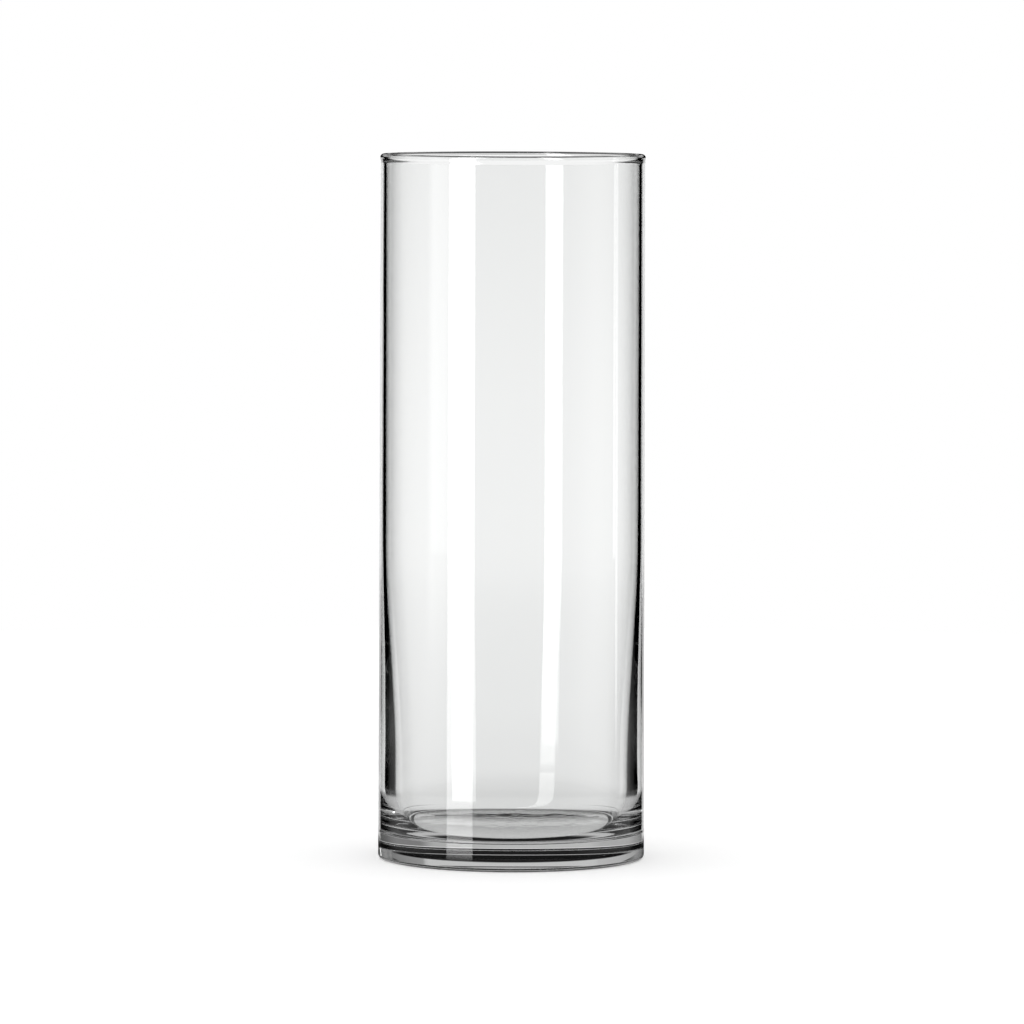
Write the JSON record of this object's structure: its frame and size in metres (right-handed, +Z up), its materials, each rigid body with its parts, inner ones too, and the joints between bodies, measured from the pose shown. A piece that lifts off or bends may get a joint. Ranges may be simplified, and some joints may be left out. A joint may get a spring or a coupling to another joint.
{
  "type": "glass cylinder vase",
  "caption": "Tall straight glass cylinder vase with a rounded rim, a wall that thickens downwards and a heavy solid base; holds cut stems in water.",
  "frame": {"origin": "centre of the plane that the vase stands on", "axes": "+Z up along the vase's axis, towards the open rim"},
  "size_m": [0.0888, 0.0888, 0.235],
  "materials": {
    "clear_glass": "clear colourless soda-lime glass, fire-polished and smooth, with the faint waves of machine-made glass on the inner wall and floor"
  },
  "bodies": {
    "root": {"vase_body": "clear_glass"}
  },
  "joints": []
}
